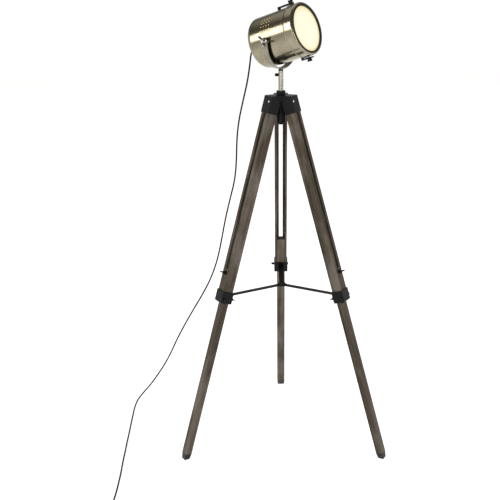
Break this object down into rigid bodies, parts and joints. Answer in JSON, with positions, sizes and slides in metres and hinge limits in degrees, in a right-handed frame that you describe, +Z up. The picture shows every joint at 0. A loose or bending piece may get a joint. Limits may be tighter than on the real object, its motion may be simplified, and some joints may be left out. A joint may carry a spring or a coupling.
{
  "type": "tripod floor lamp",
  "caption": "Tripod floor lamp with telescoping wooden legs, flat brace and a tilting nickel drum spot on a swivel yoke.",
  "frame": {"origin": "floor level under the middle of the three-foot stance's bounding box", "axes": "+Z up along the mast; the back leg points along +Y and the two front legs to -Y; the lens points to +X and -Y"},
  "size_m": [0.9333, 1.0496, 1.4715],
  "materials": {
    "wood": "weathered grey-brown oil",
    "nickel": "antique brushed nickel",
    "bright_steel": "polished",
    "dark_steel": "blackened",
    "black_metal": "satin black",
    "black_plastic": "satin black",
    "rubber": "matt",
    "gasket": "satin",
    "cord_black": "satin sheath",
    "frosted_glass": "frosted",
    "lamp_glass": "opal",
    "bright_aluminium": "spun"
  },
  "bodies": {
    "tripod": {"hub": "black_metal", "mast": "nickel", "mast_collar": "black_metal", "mast_nut": "black_metal", "brace_hub": "black_metal", "rail_left_a": "wood", "rail_left_b": "wood", "spacer_left": "wood", "collar_left": "black_plastic", "brace_left": "black_metal", "leg_screw_left": "bright_steel", "cross_bolt_left": "bright_steel", "rail_right_a": "wood", "rail_right_b": "wood", "spacer_right": "wood", "collar_right": "black_plastic", "brace_right": "black_metal", "leg_screw_right": "bright_steel", "cross_bolt_right": "bright_steel", "rail_back_a": "wood", "rail_back_b": "wood", "spacer_back": "wood", "collar_back": "black_plastic", "brace_back": "black_metal", "leg_screw_back": "bright_steel", "cross_bolt_back": "bright_steel", "cord_hanging": "cord_black", "cord_floor": "cord_black", "cord_coil": "cord_black", "plug": "cord_black"},
    "yoke_body": {"yoke": "nickel", "stem": "dark_steel"},
    "head_body": {"barrel": "nickel", "rear_cap": "nickel", "front_ring": "nickel", "lens_gasket": "gasket", "lens": "frosted_glass", "reflector": "bright_aluminium", "lamp_holder": "black_plastic", "bulb": "lamp_glass", "cord_gland": "cord_black", "bracket_top": "black_metal", "bracket_bottom": "black_metal", "stud_far": "nickel", "stud_near": "nickel"},
    "stem_lock": {"stem_knob": "black_plastic"},
    "wing_far": {"wing_nut_far": "bright_steel"},
    "wing_near": {"wing_nut_near": "bright_steel"},
    "brace_lock_left": {"brace_screw_left": "black_metal"},
    "leg_left": {"lower_leg_left": "wood", "foot_left": "rubber"},
    "clamp_left": {"clamp_knob_left": "black_plastic"},
    "brace_lock_right": {"brace_screw_right": "black_metal"},
    "leg_right": {"lower_leg_right": "wood", "foot_right": "rubber"},
    "clamp_right": {"clamp_knob_right": "black_plastic"},
    "brace_lock_back": {"brace_screw_back": "black_metal"},
    "leg_back": {"lower_leg_back": "wood", "foot_back": "rubber"},
    "clamp_back": {"clamp_knob_back": "black_plastic"}
  },
  "joints": [
    {"name": "leg_slide_left", "type": "slide", "parent": "tripod", "child": "leg_left", "axis": [0.2498, 0.1442, 0.9575], "range_m": [-0.02, 0.4]},
    {"name": "clamp_turn_left", "type": "hinge", "parent": "tripod", "child": "clamp_left", "pos_m": [-0.18305, -0.19723, 0.62558], "axis": [-0.8292, -0.4787, 0.2885], "range_deg": [0, 180]},
    {"name": "brace_lock_turn_left", "type": "hinge", "parent": "tripod", "child": "brace_lock_left", "pos_m": [-0.17236, -0.19106, 0.53204], "axis": [0.8292, 0.4787, -0.2885], "range_deg": [0, 180]},
    {"name": "leg_slide_right", "type": "slide", "parent": "tripod", "child": "leg_right", "axis": [-0.2498, 0.1442, 0.9575], "range_m": [-0.02, 0.4]},
    {"name": "clamp_turn_right", "type": "hinge", "parent": "tripod", "child": "clamp_right", "pos_m": [0.18305, -0.19723, 0.62558], "axis": [0.8292, -0.4787, 0.2885], "range_deg": [0, 180]},
    {"name": "brace_lock_turn_right", "type": "hinge", "parent": "tripod", "child": "brace_lock_right", "pos_m": [0.17236, -0.19106, 0.53204], "axis": [-0.8292, 0.4787, -0.2885], "range_deg": [0, 180]},
    {"name": "leg_slide_back", "type": "slide", "parent": "tripod", "child": "leg_back", "axis": [0, -0.2885, 0.9575], "range_m": [-0.02, 0.4]},
    {"name": "clamp_turn_back", "type": "hinge", "parent": "tripod", "child": "clamp_back", "pos_m": [0, 0.11983, 0.62558], "axis": [0, 0.9575, 0.2885], "range_deg": [0, 180]},
    {"name": "brace_lock_turn_back", "type": "hinge", "parent": "tripod", "child": "brace_lock_back", "pos_m": [0, 0.10748, 0.53204], "axis": [0, -0.9575, -0.2885], "range_deg": [0, 180]},
    {"name": "yoke_swivel", "type": "hinge", "parent": "tripod", "child": "yoke_body", "pos_m": [0, -0.09155, 1.255], "axis": [0, 0, 1], "range_deg": [-90, 90], "deforming": ["cord_hanging"]},
    {"name": "head_tilt", "type": "hinge", "parent": "yoke_body", "child": "head_body", "pos_m": [0, -0.09155, 1.352], "axis": [0.5664, 0.8241, 0], "range_deg": [-5, 40], "deforming": ["cord_hanging"]},
    {"name": "stem_lock_turn", "type": "hinge", "parent": "tripod", "child": "stem_lock", "pos_m": [-0.0082, -0.09155, 1.243], "axis": [-1, 0, 0], "range_deg": [0, 180]},
    {"name": "wing_turn_far", "type": "hinge", "parent": "head_body", "child": "wing_far", "pos_m": [0.05013, -0.01861, 1.352], "axis": [0.5664, 0.8241, 0], "range_deg": [0, 180]},
    {"name": "wing_turn_near", "type": "hinge", "parent": "head_body", "child": "wing_near", "pos_m": [-0.05013, -0.16448, 1.352], "axis": [-0.5664, -0.8241, 0], "range_deg": [0, 180]}
  ]
}
